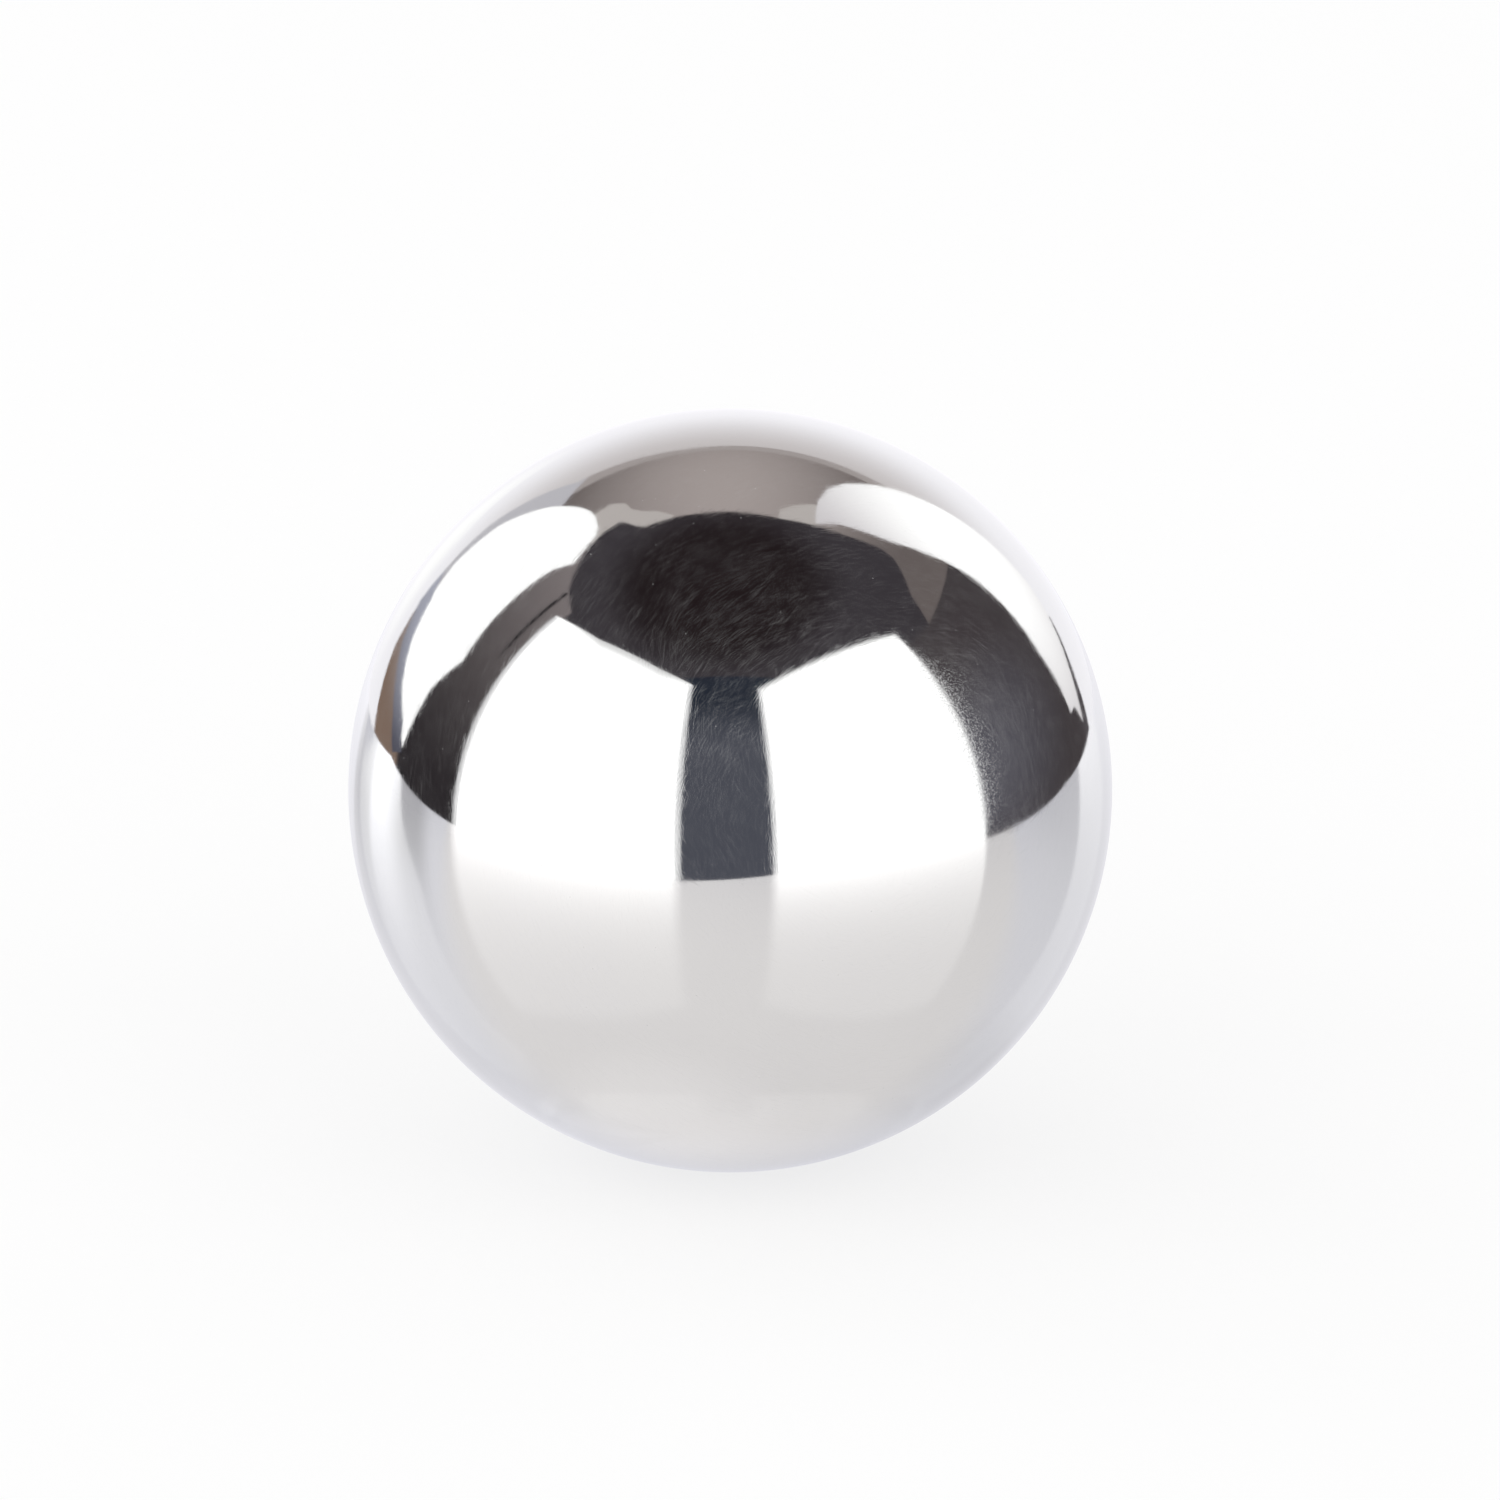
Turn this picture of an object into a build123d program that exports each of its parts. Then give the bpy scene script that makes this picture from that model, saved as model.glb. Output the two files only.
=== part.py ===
"""Polished steel ball: a single solid sphere, forged as one slug, then ground and lapped to a mirror finish.

The origin is the centre of the ball, and +Z is up. All lengths are in millimetres.
"""

import os

from build123d import *

# Driving dimension: the lapped diameter, which sets everything else
ball_diameter = 50.0

# The round half of the section, in degrees from the lowest point of the ball up to its highest
section_start_angle = -90
section_arc_angle = 180

ball_radius = ball_diameter / 2

# Ball: half of its round section, closed along the upright axis and turned once about it
with BuildPart() as ball:
    with BuildSketch(Plane.XZ):
        with BuildLine():
            rim = CenterArc((0, 0), ball_radius, section_start_angle, section_arc_angle)
            Line(rim @ 1, rim @ 0)
        make_face()
    revolve(axis=Axis.Z)

ball.part.label = "ball"

os.makedirs("parts", exist_ok=True)
export_step(ball.part, "parts/ball.step")
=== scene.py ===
import math

import bpy
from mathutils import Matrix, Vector


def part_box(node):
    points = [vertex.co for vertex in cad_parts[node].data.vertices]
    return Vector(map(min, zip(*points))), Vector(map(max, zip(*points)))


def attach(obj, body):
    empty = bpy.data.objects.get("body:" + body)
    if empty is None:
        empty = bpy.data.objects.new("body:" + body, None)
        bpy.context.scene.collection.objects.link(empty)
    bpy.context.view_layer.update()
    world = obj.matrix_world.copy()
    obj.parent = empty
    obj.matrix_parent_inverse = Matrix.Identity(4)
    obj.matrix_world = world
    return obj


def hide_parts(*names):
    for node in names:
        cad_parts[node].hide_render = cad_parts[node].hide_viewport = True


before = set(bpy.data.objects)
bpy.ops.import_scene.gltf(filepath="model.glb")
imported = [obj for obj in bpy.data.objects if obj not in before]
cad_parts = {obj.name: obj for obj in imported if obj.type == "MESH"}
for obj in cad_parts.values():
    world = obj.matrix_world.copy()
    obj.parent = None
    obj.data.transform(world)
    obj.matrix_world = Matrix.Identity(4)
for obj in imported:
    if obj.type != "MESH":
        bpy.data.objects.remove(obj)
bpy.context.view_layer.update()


# Ball
# The real piece is one slug of chrome steel, forged round, hardened, ground and lapped to a mirror.
# It has no seam and no flat. Lapping leaves short hairline marks in rings about one axis, and use has
# scuffed one side to a haze.

ball_low, ball_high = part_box("ball")
ball_radius = (ball_high.z - ball_low.z) / 2

# A cube divided evenly and rounded has no poles, so the mirror stays true all over
cuts_per_edge = 79

# The polish at its best, and in faint clouds where it is softer, which add their roughness to the best one
best_colour = (0.80, 0.80, 0.79)
cloud_colour = (0.78, 0.78, 0.78)
best_roughness = 0.03
cloud_roughness = 0.02
clouds_per_metre = 90.0
cloud_detail = 3.0

# The marks run in rings about this axis, and a patch of like marks strays by up to half of lap_stray.
# Each layer of marks has the size of a patch, and the width and length of a mark. The layers are shifted
# apart, so that their patches differ.
lap_axis = (0.444, -0.859, 0.253)
lap_stray = 0.5
mark_layers = [
    (0.0040, 0.000052, 0.0017),
    (0.0033, 0.000047, 0.0015),
    (0.0027, 0.000042, 0.0013),
    (0.0021, 0.000038, 0.0011),
]
layer_shift = 0.1

# A mark lies where the noise in its patch is high, and marks fade toward the edge of the patch.
# The shuffle gives each patch its own part of the noise.
mark_noise = (0.56, 0.80)
patch_fade = (0.45, 0.85)
patch_shuffle = (90.0, 70.0, 50.0)
mark_depth_micrometres = 0.2
micrometre = 0.000001

# How dull a mark is: more on the front than on the rest, and more still on the worn side.
# Each place is a direction from the centre, and its reach is in ball radii.
plain_dullness = 0.028
front = (0.03, -0.84, 0.54)
front_reach = (0.12, 0.42)
front_dullness = 0.062
worn_side = (0.609, -0.697, 0.379)
worn_reach = (0.12, 0.36)
worn_dullness = 0.04

# The haze on the worn side is fine grit, rougher where its noise is high
grit_per_metre = 9500.0
grit_detail = 2.0
grit_noise = (0.40, 0.70)
grit_roughness = (0.03, 0.21)

# Tiny pits and dust lie wherever a point of a fine lattice comes close to the surface.
# Their reach is in shares of the lattice's spacing.
speck_spacing = 0.0012
speck_reach = (0.015, 0.05)
speck_dullness = 0.32


def add_node(tree, kind, inputs=None, **settings):
    """Adds a node with options, and gives each named input a value or a link from another node's output."""
    node = tree.nodes.new(kind)
    for option, value in settings.items():
        setattr(node, option, value)
    for socket, value in (inputs or {}).items():
        if isinstance(value, bpy.types.NodeSocket):
            tree.links.new(value, node.inputs[socket])
        else:
            node.inputs[socket].default_value = value
    return node


def add_math(tree, operation, *values):
    """Adds a number node and returns its output."""
    return add_node(tree, "ShaderNodeMath", dict(enumerate(values)), operation=operation).outputs[0]


def add_vector_math(tree, operation, *values):
    """Adds a vector node and returns its output, which is a number for a product, distance or length."""
    node = add_node(tree, "ShaderNodeVectorMath", dict(enumerate(values)), operation=operation)
    gives_number = operation in ("DOT_PRODUCT", "DISTANCE", "LENGTH")
    return node.outputs["Value" if gives_number else "Vector"]


def add_noise(tree, points, scale, detail):
    """Returns a noise field from 0 to 1."""
    settings = {"Vector": points, "Scale": scale, "Detail": detail}
    return add_node(tree, "ShaderNodeTexNoise", settings).outputs["Fac"]


def add_slope(tree, value, start, end, first=0.0, last=1.0):
    """Returns first while the value is below start and last above end, with a smooth slope between them."""
    limits = {"Value": value, "From Min": start, "From Max": end, "To Min": first, "To Max": last}
    return add_node(tree, "ShaderNodeMapRange", limits, interpolation_type="SMOOTHSTEP").outputs["Result"]


def add_blend(tree, share, first, last):
    """Returns a colour that goes from first to last as the share goes from 0 to 1."""
    change = [end - start for start, end in zip(first, last)]
    return add_vector_math(tree, "MULTIPLY_ADD", share, change, first)


def add_lapping_marks(tree, points, outward, patch_size, mark_width, mark_length, shift):
    """Returns a field of fine marks, 0 to 1 strong, in patches that run in rings about the lapping axis."""
    moved = add_vector_math(tree, "ADD", points, (shift, 0.0, 0.0))
    patches = add_node(tree, "ShaderNodeTexVoronoi", {"Vector": moved, "Scale": 1 / patch_size})
    away = add_vector_math(tree, "SUBTRACT", moved, patches.outputs["Position"])

    # A patch's random colour turns its heading off the axis, evenly to both sides
    stray = (lap_stray, lap_stray, lap_stray)
    least_heading = [part - lap_stray / 2 for part in lap_axis]
    heading = add_vector_math(tree, "MULTIPLY_ADD", patches.outputs["Color"], stray, least_heading)
    along = add_vector_math(tree, "NORMALIZE", add_vector_math(tree, "CROSS_PRODUCT", outward, heading))
    across = add_vector_math(tree, "CROSS_PRODUCT", outward, along)

    steps_across = add_math(tree, "DIVIDE", add_vector_math(tree, "DOT_PRODUCT", away, across), mark_width)
    steps_along = add_math(tree, "DIVIDE", add_vector_math(tree, "DOT_PRODUCT", away, along), mark_length)
    place = add_node(tree, "ShaderNodeCombineXYZ", {"X": steps_across, "Y": steps_along}).outputs[0]
    shuffled = add_vector_math(tree, "MULTIPLY_ADD", patches.outputs["Color"], patch_shuffle, place)
    strong = add_slope(tree, add_noise(tree, shuffled, 1.0, 0.0), *mark_noise)
    inside = add_slope(tree, patches.outputs["Distance"], *patch_fade, 1.0, 0.0)
    return add_math(tree, "MULTIPLY", strong, inside)


def make_polished_steel():
    """Mirror steel with faint clouds, fine marks that are dull and a little sunk, a hazy side and pits."""
    material = bpy.data.materials.new("polished_steel")
    material.use_nodes = True
    tree = material.node_tree
    shader = tree.nodes["Principled BSDF"]

    points = add_node(tree, "ShaderNodeTexCoord").outputs["Object"]
    outward = add_vector_math(tree, "NORMALIZE", points)

    marks = 0.0
    for layer, sizes in enumerate(mark_layers, start=1):
        strong = add_lapping_marks(tree, points, outward, *sizes, layer_shift * layer)
        marks = add_math(tree, "ADD", marks, strong)

    from_front = add_vector_math(tree, "DISTANCE", outward, front)
    marked = add_slope(tree, from_front, *front_reach, front_dullness, plain_dullness)
    from_worn_side = add_vector_math(tree, "DISTANCE", outward, worn_side)
    worn = add_slope(tree, from_worn_side, *worn_reach, 1.0, 0.0)
    mark_dullness = add_math(tree, "MULTIPLY_ADD", worn, worn_dullness, marked)
    dullness = add_math(tree, "MULTIPLY", marks, mark_dullness)

    specks = add_node(tree, "ShaderNodeTexVoronoi", {"Vector": points, "Scale": 1 / speck_spacing})
    pitted = add_slope(tree, specks.outputs["Distance"], *speck_reach, speck_dullness, 0.0)
    all_dullness = add_math(tree, "ADD", dullness, pitted)
    tree.links.new(add_math(tree, "SUBTRACT", 1.0, all_dullness), shader.inputs["Metallic"])

    clouds = add_noise(tree, points, clouds_per_metre, cloud_detail)
    polish = add_math(tree, "MULTIPLY_ADD", clouds, cloud_roughness, best_roughness)
    grit = add_noise(tree, points, grit_per_metre, grit_detail)
    scuffs = add_math(tree, "MULTIPLY", worn, add_slope(tree, grit, *grit_noise, *grit_roughness))
    tree.links.new(add_math(tree, "ADD", polish, scuffs), shader.inputs["Roughness"])
    tree.links.new(add_blend(tree, clouds, best_colour, cloud_colour), shader.inputs["Base Color"])

    depth = add_math(tree, "MULTIPLY", marks, mark_depth_micrometres)
    bump = add_node(tree, "ShaderNodeBump", {"Height": depth, "Distance": micrometre}, invert=True)
    tree.links.new(bump.outputs["Normal"], shader.inputs["Normal"])
    return material


bpy.ops.object.select_all(action="DESELECT")
bpy.ops.mesh.primitive_cube_add(size=2 * ball_radius, location=(0, 0, 0))
ball = bpy.context.object
ball.name = "steel_ball"
bpy.ops.object.mode_set(mode="EDIT")
bpy.ops.mesh.select_all(action="SELECT")
bpy.ops.mesh.subdivide(number_cuts=cuts_per_edge)
bpy.ops.object.mode_set(mode="OBJECT")
rounding = ball.modifiers.new("rounding", "CAST")
rounding.factor = 1.0
rounding.use_radius_as_size = False
rounding.size = ball_radius
bpy.ops.object.modifier_apply(modifier=rounding.name)
bpy.ops.object.shade_smooth()
ball.data.materials.append(make_polished_steel())
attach(ball, "root")
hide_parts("ball")


# Board and floor
# The ball stands on a pale glossy board, which it mirrors. The camera sees a plain white paper floor there,
# with the ball's soft shadow on it. Further out the paper is pale grey, so that a white rim shows up.

floor_level = ball_low.z
floor_half = 4.0
floor_drop = 0.0003
board_outline = [(-0.2135, -0.1075), (0.215, -0.315), (0.205, 0.09), (0.155, 0.165), (-0.30, 0.175)]

board_colour = (0.22, 0.215, 0.21, 1.0)
board_roughness = 0.12
board_refraction = 1.42

# The board glows with painted light, which the ball sees. It falls off from left to right, and behind the
# ball
glow_span = (-0.13, 0.17)
glow_left_and_right = (0.67, 0.56)
behind_span = (-0.012, 0.045)
behind_change = -0.065

# Round patches of more or less painted light: a ring round the ball, the ball's painted contact shadow, a
# painted bright patch in front of it and a painted shaded one beside it. Each has its middle, the distances
# where it is full and where it ends, and its strength.
glow_patches = [
    ((0.0, 0.0, 0.0), (0.026, 0.034), 0.05),
    ((0.0, 0.0, 0.0), (0.0262, 0.0287), -0.045),
    ((-0.006, -0.017, floor_level), (0.004, 0.014), 0.06),
    ((0.018, -0.002, floor_level), (0.004, 0.016), -0.075),
]

# Two painted dark reflections, grey bands in the glow, fan out to the left from one point. Each starts, is
# full, begins to fade and ends at these angles, in degrees, and both are deeper away from the ball.
fan_x, fan_y = -0.004, -0.015
band_angles = [(7.0, 15.0, 21.0, 34.0), (40.0, 44.0, 56.0, 60.0)]
band_span = (0.039, 0.123)
band_depths = (0.015, 0.23)

# The board's painted light is a little warm in front and cool behind
cool_span = (-0.017, -0.004)
warm_light = (1.0, 0.976, 0.985)
cool_light = (0.945, 0.95, 1.03)

# The camera's floor is white close to the ball and to a line that runs straight back from it.
# It goes from white to grey over lane_edge, which is measured from them.
lane_edge = (0.09, 0.17)
white_and_grey = (1.0, 0.7)
paper_colour = (0.95, 0.95, 0.95, 1.0)
paper_share = 0.30


def add_board_glow(tree, points, place):
    """Returns the strength of the painted light that the ball sees on the board."""
    glow = add_slope(tree, place["X"], *glow_span, *glow_left_and_right)
    behind = add_slope(tree, place["Y"], *behind_span)
    glow = add_math(tree, "MULTIPLY_ADD", behind, behind_change, glow)
    for middle, reach, change in glow_patches:
        away = add_vector_math(tree, "DISTANCE", points, middle)
        glow = add_math(tree, "ADD", glow, add_slope(tree, away, *reach, change, 0.0))

    rise = add_math(tree, "SUBTRACT", place["Y"], fan_y)
    run = add_math(tree, "SUBTRACT", fan_x, place["X"])
    turn = add_math(tree, "DEGREES", add_math(tree, "ARCTAN2", rise, run))
    # Painted dark reflections, taken from the glow as grey bands
    painted_reflections = 0.0
    for start, full, fade, end in band_angles:
        entering = add_slope(tree, turn, start, full)
        leaving = add_slope(tree, turn, fade, end, 1.0, 0.0)
        painted_reflections = add_math(tree, "ADD", painted_reflections, add_math(tree, "MULTIPLY", entering, leaving))
    depth = add_slope(tree, add_vector_math(tree, "LENGTH", points), *band_span, *band_depths)
    return add_math(tree, "SUBTRACT", glow, add_math(tree, "MULTIPLY", painted_reflections, depth))


def make_white_board():
    """Pale glossy board with painted soft light, which the camera sees as white paper with a soft shadow.
    """
    material = bpy.data.materials.new("white_board")
    material.use_nodes = True
    material.cycles.emission_sampling = "NONE"
    tree = material.node_tree
    points = add_node(tree, "ShaderNodeTexCoord").outputs["Object"]
    place = add_node(tree, "ShaderNodeSeparateXYZ", {"Vector": points}).outputs

    shader = tree.nodes["Principled BSDF"]
    shader.inputs["Base Color"].default_value = board_colour
    shader.inputs["Roughness"].default_value = board_roughness
    shader.inputs["IOR"].default_value = board_refraction
    tree.links.new(add_board_glow(tree, points, place), shader.inputs["Emission Strength"])
    cool = add_slope(tree, place["Y"], *cool_span)
    tree.links.new(add_blend(tree, cool, warm_light, cool_light), shader.inputs["Emission Color"])

    before = add_math(tree, "MINIMUM", place["Y"], 0.0)
    from_lane = add_node(tree, "ShaderNodeCombineXYZ", {"X": place["X"], "Y": before}).outputs[0]
    brightness = add_slope(tree, add_vector_math(tree, "LENGTH", from_lane), *lane_edge, *white_and_grey)
    white = add_node(tree, "ShaderNodeEmission", {"Strength": brightness}).outputs[0]
    paper = add_node(tree, "ShaderNodeBsdfDiffuse", {"Color": paper_colour}).outputs[0]
    seen = add_node(tree, "ShaderNodeMixShader", {"Fac": paper_share, 1: white, 2: paper}).outputs[0]
    is_camera = add_node(tree, "ShaderNodeLightPath").outputs["Is Camera Ray"]
    surface = add_node(tree, "ShaderNodeMixShader", {"Fac": is_camera, 1: shader.outputs[0], 2: seen})
    tree.links.new(surface.outputs[0], tree.nodes["Material Output"].inputs["Surface"])
    return material


def add_card(name, corners, material):
    """Adds a flat card through the given corners, in metres, as a part of the studio."""
    bpy.ops.object.select_all(action="DESELECT")
    bpy.ops.mesh.primitive_circle_add(vertices=len(corners), fill_type="NGON")
    card = bpy.context.object
    card.name = name
    for vertex, corner in zip(card.data.vertices, corners):
        vertex.co = corner
    card.data.materials.append(material)
    return card


def level_square(half, level):
    """Returns the corners of a level square about the upright axis."""
    return [(-half, -half, level), (half, -half, level), (half, half, level), (-half, half, level)]


white_board = make_white_board()
add_card("board", [(x, y, floor_level) for x, y in board_outline], white_board)
floor = add_card("floor", level_square(floor_half, floor_level - floor_drop), white_board)

# The ball mirrors the board alone, and the room past its edges
floor.visible_glossy = False


# Soft boxes and light panels
# Two large soft boxes stand in front, one each side of the camera, and two smaller light panels behind.
# A box has a white cloth front with a greyer lip along its sides, and the left panel has a grey metal frame
# along its foot.

box_distance = 3.0
lip_distance = 2.9
panel_distance = 2.6
panel_frame_distance = 2.5

# A card's corners are at its distance from the ball, so its middle is a little nearer
left_panel_middle_distance = 2.45

# What a paint's change of colour follows: height alone, or the distance in every direction
upright = (0, 0, 1)
all_round = (1, 1, 1)


def make_plain_paint(name, colour):
    """A surface that gives off one colour all over."""
    material = bpy.data.materials.new(name)
    material.use_nodes = True
    tree = material.node_tree
    tree.nodes.remove(tree.nodes["Principled BSDF"])
    light = add_node(tree, "ShaderNodeEmission", {"Color": (*colour, 1.0)}, name="light")
    tree.links.new(light.outputs[0], tree.nodes["Material Output"].inputs["Surface"])
    return material


def make_paint(name, near_colour, far_colour, spot, spread, near, far):
    """A surface that gives off near_colour close to a spot and far_colour away from it.

    The change lies between the two distances, and each axis counts toward them by its weight in spread.
    On a card that is no lamp, this colour is painted light, and its change is painted light and shade.
    """
    material = make_plain_paint(name, near_colour)
    tree = material.node_tree
    points = add_node(tree, "ShaderNodeTexCoord").outputs["Object"]
    away = add_vector_math(tree, "MULTIPLY", add_vector_math(tree, "SUBTRACT", points, spot), spread)
    share = add_slope(tree, add_vector_math(tree, "LENGTH", away), near, far)
    tree.links.new(add_blend(tree, share, near_colour, far_colour), tree.nodes["light"].inputs["Color"])
    return material


def toward(azimuth, elevation, distance):
    """Returns the point that the ball sees in a direction: azimuth 0 is the camera's, and 90 is +X."""
    turn = math.radians(azimuth)
    rise = math.radians(elevation)
    level = distance * math.cos(rise)
    return Vector((level * math.sin(turn), -level * math.cos(turn), distance * math.sin(rise)))


def add_light(name, directions, distance, paint):
    """Adds a card that lights the ball and is mirrored in it, and that the camera doesn't see."""
    light = add_card(name, [toward(*direction, distance) for direction in directions], paint)
    light.visible_camera = False
    light.visible_shadow = False


def add_dim_card(name, corners, paint):
    """Adds a card that is seen in the ball alone: it hides nothing, gives no light and takes none away."""
    paint.cycles.emission_sampling = "NONE"
    card = add_card(name, corners, paint)
    card.visible_camera = False
    card.visible_diffuse = False
    card.visible_shadow = False


def add_dim_screen(name, directions, distance, paint):
    """Adds a dim card whose corners lie in the given directions from the ball."""
    add_dim_card(name, [toward(*direction, distance) for direction in directions], paint)


# Outlines are in degrees of azimuth and elevation, as the ball sees them
left_box_outline = [
    (-89.4, -14),
    (-14, -14),
    (-16, 48.4),
    (-32, 51.2),
    (-54, 51.8),
    (-66, 51.2),
    (-91.8, 46.3),
]
left_box_paint = make_paint(
    "left_box_paint",
    near_colour=(1.6, 1.6, 1.6),
    far_colour=(0.9, 0.9, 0.9),
    spot=(0, 0, 0),
    spread=upright,
    near=2.15,
    far=2.30,
)
add_light("left_box", left_box_outline, box_distance, left_box_paint)

right_box_outline = [(12.5, -14), (80.5, -14), (80.8, 46), (11.5, 47.5)]
right_box_paint = make_paint(
    "right_box_paint",
    near_colour=(1.6, 1.6, 1.6),
    far_colour=(0.6, 0.61, 0.6),
    spot=(0, 0, 0),
    spread=upright,
    near=2.08,
    far=2.24,
)
add_light("right_box", right_box_outline, box_distance, right_box_paint)

left_panel_outline = [
    (-118, -2),
    (-123, 1.5),
    (-129, 3),
    (-136, 5),
    (-142, 8),
    (-146, 12),
    (-148, 20),
    (-146.5, 33),
    (-144, 42),
    (-141.8, 46.2),
    (-138.6, 49.5),
    (-133, 52.7),
    (-128, 54),
    (-121, 53.4),
    (-114, 51.6),
    (-115, 46),
    (-111, 32),
    (-108, 21),
    (-111, 16),
    (-114, 11),
    (-115.5, 5),
]
left_panel_paint = make_paint(
    "left_panel_paint",
    near_colour=(2.3, 2.3, 2.3),
    far_colour=(1.28, 1.28, 1.28),
    spot=toward(-128, 18, left_panel_middle_distance),
    spread=all_round,
    near=0.15,
    far=0.75,
)
add_light("left_panel", left_panel_outline, panel_distance, left_panel_paint)

right_panel_outline = [
    (130.8, -1.9),
    (134.5, -2.5),
    (136, -4),
    (138.1, -6.1),
    (139.5, -3),
    (141.2, -0.8),
    (143.9, 1.2),
    (145.8, 3),
    (148, 6.5),
    (149.5, 14),
    (151.3, 24),
    (153.4, 34),
    (154.6, 43),
    (153.8, 49),
    (149.5, 56),
    (144, 60.2),
    (136.7, 63.6),
    (134, 57.7),
    (130.5, 54),
    (127, 48),
    (127, 40),
    (128.3, 27),
    (127.7, 10),
    (130, 1),
]
right_panel_paint = make_paint(
    "right_panel_paint",
    near_colour=(1.35, 1.35, 1.35),
    far_colour=(0.75, 0.72, 0.74),
    spot=toward(139, 25, panel_distance),
    spread=all_round,
    near=0.3,
    far=1.7,
)
add_light("right_panel", right_panel_outline, panel_distance, right_panel_paint)

lip_paint = make_plain_paint("lip_paint", (0.85, 0.85, 0.86))
lip_outlines = {
    "left_box_lip": [(-15.8, -14), (-14, -14), (-15.8, 48), (-17.6, 48)],
    "left_box_far_lip": [(-89.4, -14), (-87.6, -14), (-90, 46.3), (-91.8, 46.3)],
    "right_box_lip": [(12.5, -14), (13.9, -14), (12.9, 47.5), (11.5, 47.5)],
}
for lip, outline in lip_outlines.items():
    add_dim_screen(lip, outline, lip_distance, lip_paint)

panel_frame_outline = [
    (-123.3, -4.5),
    (-128.3, -1.0),
    (-134.4, 1.2),
    (-142.4, 2.1),
    (-147.2, 4.4),
    (-147.6, 9.5),
    (-141.5, 9.2),
    (-136.8, 5.9),
    (-130.1, 3.5),
    (-121.6, 1.3),
    (-118.1, -2.6),
]
panel_frame_paint = make_paint(
    "frame_paint",
    near_colour=(0.09, 0.09, 0.12),
    far_colour=(0.43, 0.44, 0.52),
    spot=(0, 0, -0.2),
    spread=upright,
    near=0.0,
    far=0.55,
)
add_dim_screen("left_panel_frame", panel_frame_outline, panel_frame_distance, panel_frame_paint)


# Backdrop
# A white cloth hangs behind the ball, its painted light dimmer toward its top. It is there to be mirrored
# and gives no light. A smaller card in front of it, to the left, is a painted pool of light, the brightest
# part, and blends into the cloth at its edges.

backdrop_distance = 3.0
bright_distance = 2.0
backdrop_white = (1.04, 1.03, 1.07)

backdrop_outline = [
    (-139, -18),
    (141.5, -18),
    (142, -8.2),
    (142.8, -5),
    (142.7, -3.1),
    (143.9, -1),
    (145.2, 0.6),
    (146.3, 2.4),
    (145.6, 4.2),
    (146, 8),
    (150, 31),
    (156, 33),
    (180, 36),
    (-172, 36),
    (-155, 31),
    (-151, 16),
    (-147, 8),
    (-146, -1),
    (-139, -7.5),
]
backdrop_paint = make_paint(
    "backdrop_paint",
    near_colour=backdrop_white,
    far_colour=(0.66, 0.62, 0.62),
    spot=(0, 0, -1),
    spread=upright,
    near=1.2,
    far=2.75,
)
add_dim_screen("backdrop", backdrop_outline, backdrop_distance, backdrop_paint)

bright_outline = [(-150, -16), (-172, -16), (-172, 7), (-150, 7)]
bright_paint = make_paint(
    "bright_paint",
    near_colour=(1.16, 1.16, 1.16),
    far_colour=backdrop_white,
    spot=toward(-161, 0, bright_distance),
    spread=all_round,
    near=0.1,
    far=0.40,
)
add_dim_screen("backdrop_bright", bright_outline, bright_distance, bright_paint)


# Overhead card
# A dark card with a ragged back edge lies level above the ball and keeps its top dark. It is painted a
# little lighter toward its ends, as if the light of the soft boxes reached it.

overhead_level = 2.5

# Corners as shares of the card's height above the ball
overhead_shares = [
    (-0.92, -1.8),
    (1.25, -1.8),
    (1.25, 0.11),
    (0.95, 0.22),
    (0.83, 0.35),
    (0.76, 0.41),
    (0.68, 0.42),
    (0.47, 0.36),
    (0.20, 0.33),
    (0.0, 0.35),
    (-0.21, 0.35),
    (-0.34, 0.335),
    (-0.38, 0.37),
    (-0.43, 0.445),
    (-0.46, 0.46),
    (-0.53, 0.44),
    (-0.65, 0.35),
    (-0.75, 0.23),
    (-0.85, 0.07),
    (-0.92, 0.02),
]
overhead_paint = make_paint(
    "overhead_paint",
    near_colour=(0.016, 0.0112, 0.0122),
    far_colour=(0.050, 0.044, 0.051),
    spot=(-0.1, -0.45, 0),
    spread=(1, 1, 0),
    near=0.85,
    far=1.7,
)
overhead_corners = [(x * overhead_level, y * overhead_level, overhead_level) for x, y in overhead_shares]
add_dim_card("overhead", overhead_corners, overhead_paint)


# Flags and screens
# Dark cloths on stands close the gaps between the lights: a tall one between the soft boxes, and a flag on
# each side with a screen behind it. The left flag has a darker streak near its top, and the left screen is
# the lightest of them.

slot_distance = 3.2
left_flag_distance = 3.5
dark_streak_distance = 2.7
left_screen_distance = 3.9
right_flag_distance = 3.1
right_screen_distance = 3.5

slot_outline = [(-20, -14), (20, -14), (20, 50), (-20, 50)]
slot_paint = make_paint(
    "slot_paint",
    near_colour=(0.083, 0.087, 0.109),
    far_colour=(0.020, 0.026, 0.040),
    spot=(0, 0, 0.2),
    spread=upright,
    near=1.1,
    far=1.95,
)
add_dim_screen("slot", slot_outline, slot_distance, slot_paint)

left_flag_outline = [(-88, -14), (-119, -14), (-119, 56), (-88, 56)]
left_flag_paint = make_paint(
    "left_flag_paint",
    near_colour=(0.028, 0.024, 0.027),
    far_colour=(0.36, 0.315, 0.315),
    spot=(0, 0, -0.25),
    spread=upright,
    near=0.0,
    far=4.8,
)
add_dim_screen("left_flag", left_flag_outline, left_flag_distance, left_flag_paint)

# A darker streak near the top of the left flag
dark_streak_outline = [(-99.8, 50.2), (-97.7, 41), (-96.2, 28.2), (-95.6, 33), (-96.2, 41), (-98.3, 50.5)]
dark_streak_paint = make_plain_paint("dark_streak_paint", (0.012, 0.011, 0.013))
add_dim_screen("left_flag_dark_streak", dark_streak_outline, dark_streak_distance, dark_streak_paint)

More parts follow.
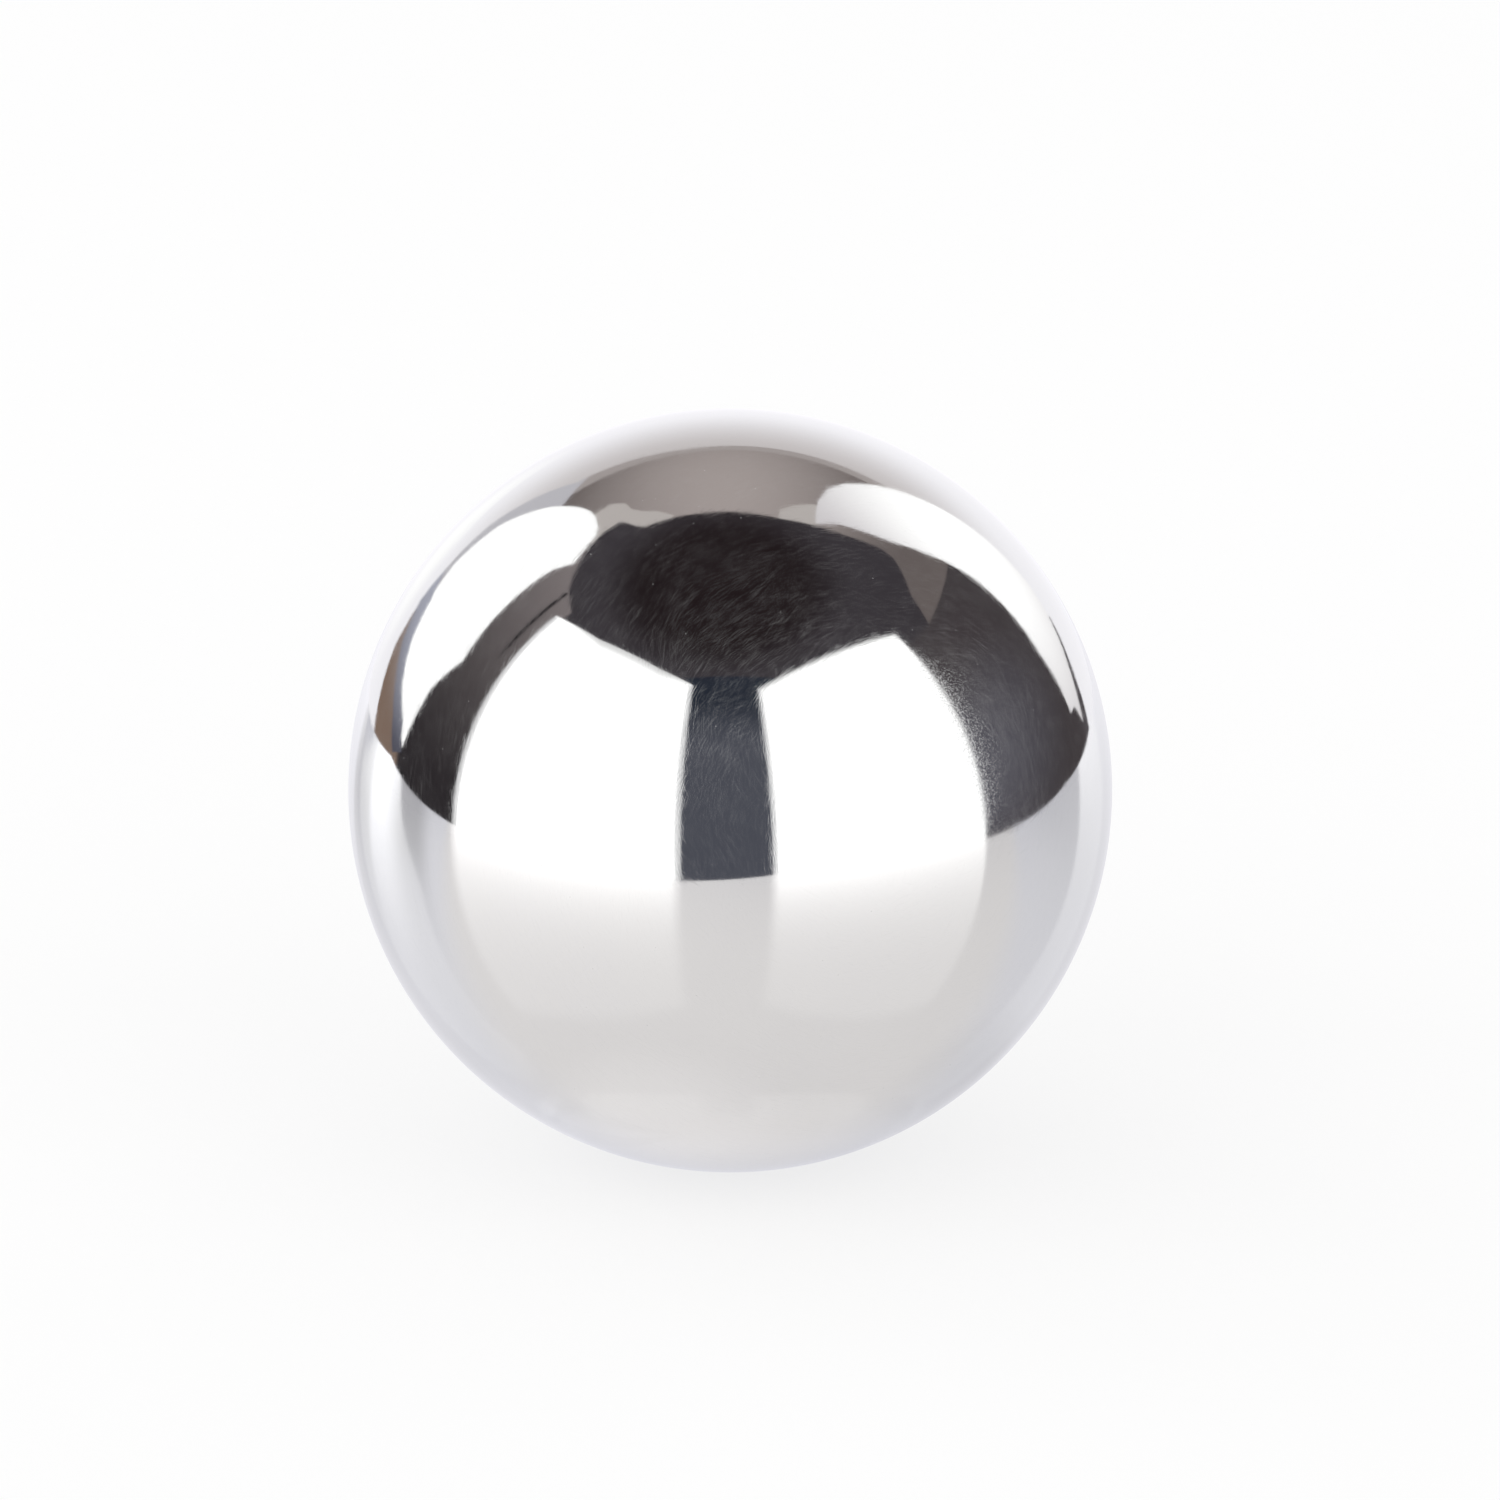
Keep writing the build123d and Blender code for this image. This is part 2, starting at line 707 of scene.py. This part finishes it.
left_screen_outline = [(-117, -14), (-158, -14), (-158, 31), (-147, 36), (-134, 36)]
left_screen_paint = make_paint(
    "left_screen_paint",
    near_colour=(0.235, 0.165, 0.13),
    far_colour=(0.58, 0.57, 0.61),
    spot=(0, 0, -0.6),
    spread=upright,
    near=0.4,
    far=1.4,
)
add_dim_screen("left_screen", left_screen_outline, left_screen_distance, left_screen_paint)

right_flag_outline = [(78, -14), (137, -14), (137, 33), (127, 34), (112, 38), (96, 40), (78, 42)]
right_flag_paint = make_paint(
    "right_flag_paint",
    near_colour=(0.102, 0.099, 0.12),
    far_colour=(0.061, 0.052, 0.056),
    spot=(0, -0.6, 0.3),
    spread=(0, 0.5, 1),
    near=0.25,
    far=1.25,
)
add_dim_screen("right_flag", right_flag_outline, right_flag_distance, right_flag_paint)

right_screen_outline = [(130, -14), (158, -14), (158, 24), (130, 24)]
right_screen_paint = make_plain_paint("right_screen_paint", (0.082, 0.072, 0.079))
add_dim_screen("right_screen", right_screen_outline, right_screen_distance, right_screen_paint)


# Walls and ceiling
# A plain square room closes the mirror image behind everything else. Its walls give off dim painted light,
# lighter toward the ceiling. The ceiling gives off painted light behind the ball, most of all in two
# patches above the light panels.

room_half = 4.0
ceiling_level = 3.2
patch_distance = 3.4
wall_azimuths = {"front_wall": 0, "right_wall": 90, "back_wall": 180, "left_wall": 270}

wall_paint = make_paint(
    "wall_paint",
    near_colour=(0.045, 0.038, 0.038),
    far_colour=(0.20, 0.165, 0.165),
    spot=(0, 0, 0.5),
    spread=upright,
    near=0.0,
    far=3.5,
)
back_wall_paint = make_paint(
    "back_wall_paint",
    near_colour=(0.27, 0.195, 0.155),
    far_colour=(0.42, 0.38, 0.37),
    spot=(0, 0, 0),
    spread=upright,
    near=0.4,
    far=2.4,
)
for wall, azimuth in wall_azimuths.items():
    turn = math.radians(azimuth)
    middle = Vector((math.sin(turn), -math.cos(turn), 0.0)) * room_half
    side = Vector((math.cos(turn), math.sin(turn), 0.0)) * room_half
    top = Vector((0.0, 0.0, ceiling_level))
    bottom = Vector((0.0, 0.0, -room_half))
    corners = [middle - side + bottom, middle + side + bottom, middle + side + top, middle - side + top]
    add_dim_card(wall, corners, back_wall_paint if wall == "back_wall" else wall_paint)

ceiling_paint = make_paint(
    "ceiling_paint",
    near_colour=(0.44, 0.388, 0.373),
    far_colour=(0.155, 0.131, 0.127),
    spot=(-0.1, 1.6, 0),
    spread=(1, 0.35, 0),
    near=0.0,
    far=2.8,
)
add_dim_card("ceiling", level_square(room_half, ceiling_level), ceiling_paint)

lit_ceiling_paint = make_plain_paint("lit_ceiling_paint", (0.55, 0.51, 0.49))
lit_ceiling_outlines = {
    "left_lit_ceiling": [
        (-128, 48),
        (-139, 48),
        (-145.4, 49.4),
        (-146.8, 52.5),
        (-144.3, 56.2),
        (-144.7, 59.3),
        (-147.3, 62.2),
        (-149.6, 66.7),
        (-130, 70),
        (-118, 60),
    ],
    "right_lit_ceiling": [(155, 65.5), (152.6, 61.6), (149, 57.6), (136, 57), (136, 66), (150, 70)],
}
for patch, outline in lit_ceiling_outlines.items():
    add_dim_screen(patch, outline, patch_distance, lit_ceiling_paint)
add_dim_card("room_floor", level_square(room_half, -room_half), wall_paint)


# World light
# Even white light comes from all round, as in a white studio. What it lights gets a little less of it than
# is seen directly, which is plain white, so that pale surfaces keep their shade.

light_level = 0.78

world = bpy.data.worlds.new("studio")
bpy.context.scene.world = world
world.use_nodes = True
world_tree = world.node_tree
rays = add_node(world_tree, "ShaderNodeLightPath").outputs
seen_rays = add_math(world_tree, "MAXIMUM", rays["Is Camera Ray"], rays["Is Glossy Ray"])
seen_rays = add_math(world_tree, "MAXIMUM", seen_rays, rays["Is Transmission Ray"])
strength = add_math(world_tree, "MULTIPLY_ADD", seen_rays, 1 - light_level, light_level)
background = world_tree.nodes["Background"]
background.inputs["Color"].default_value = (1.0, 1.0, 1.0, 1.0)
world_tree.links.new(strength, background.inputs["Strength"])


# Camera
# A long lens looks down on the ball a little, from in front. The ball is left of and below the middle of
# the photograph, so the lens is shifted to match and the camera still points at the ball.

photo_side = 1500
ball_centre_pixel = (730.2, 790.4)
ball_radius_pixels = 382.0
camera_lens = 180.0
camera_height_angle = math.radians(18)

bpy.ops.object.camera_add()
camera = bpy.context.object
camera.data.lens = camera_lens
half_view = math.atan(ball_radius_pixels / photo_side * camera.data.sensor_width / camera_lens)
camera_distance = ball_radius / math.sin(half_view)
camera.location = (
    0.0,
    -camera_distance * math.cos(camera_height_angle),
    camera_distance * math.sin(camera_height_angle),
)
camera.rotation_euler = (math.pi / 2 - camera_height_angle, 0.0, 0.0)
camera.data.shift_x = (photo_side / 2 - ball_centre_pixel[0]) / photo_side
camera.data.shift_y = (ball_centre_pixel[1] - photo_side / 2) / photo_side
bpy.context.scene.camera = camera
bpy.context.scene.view_settings.view_transform = "Standard"
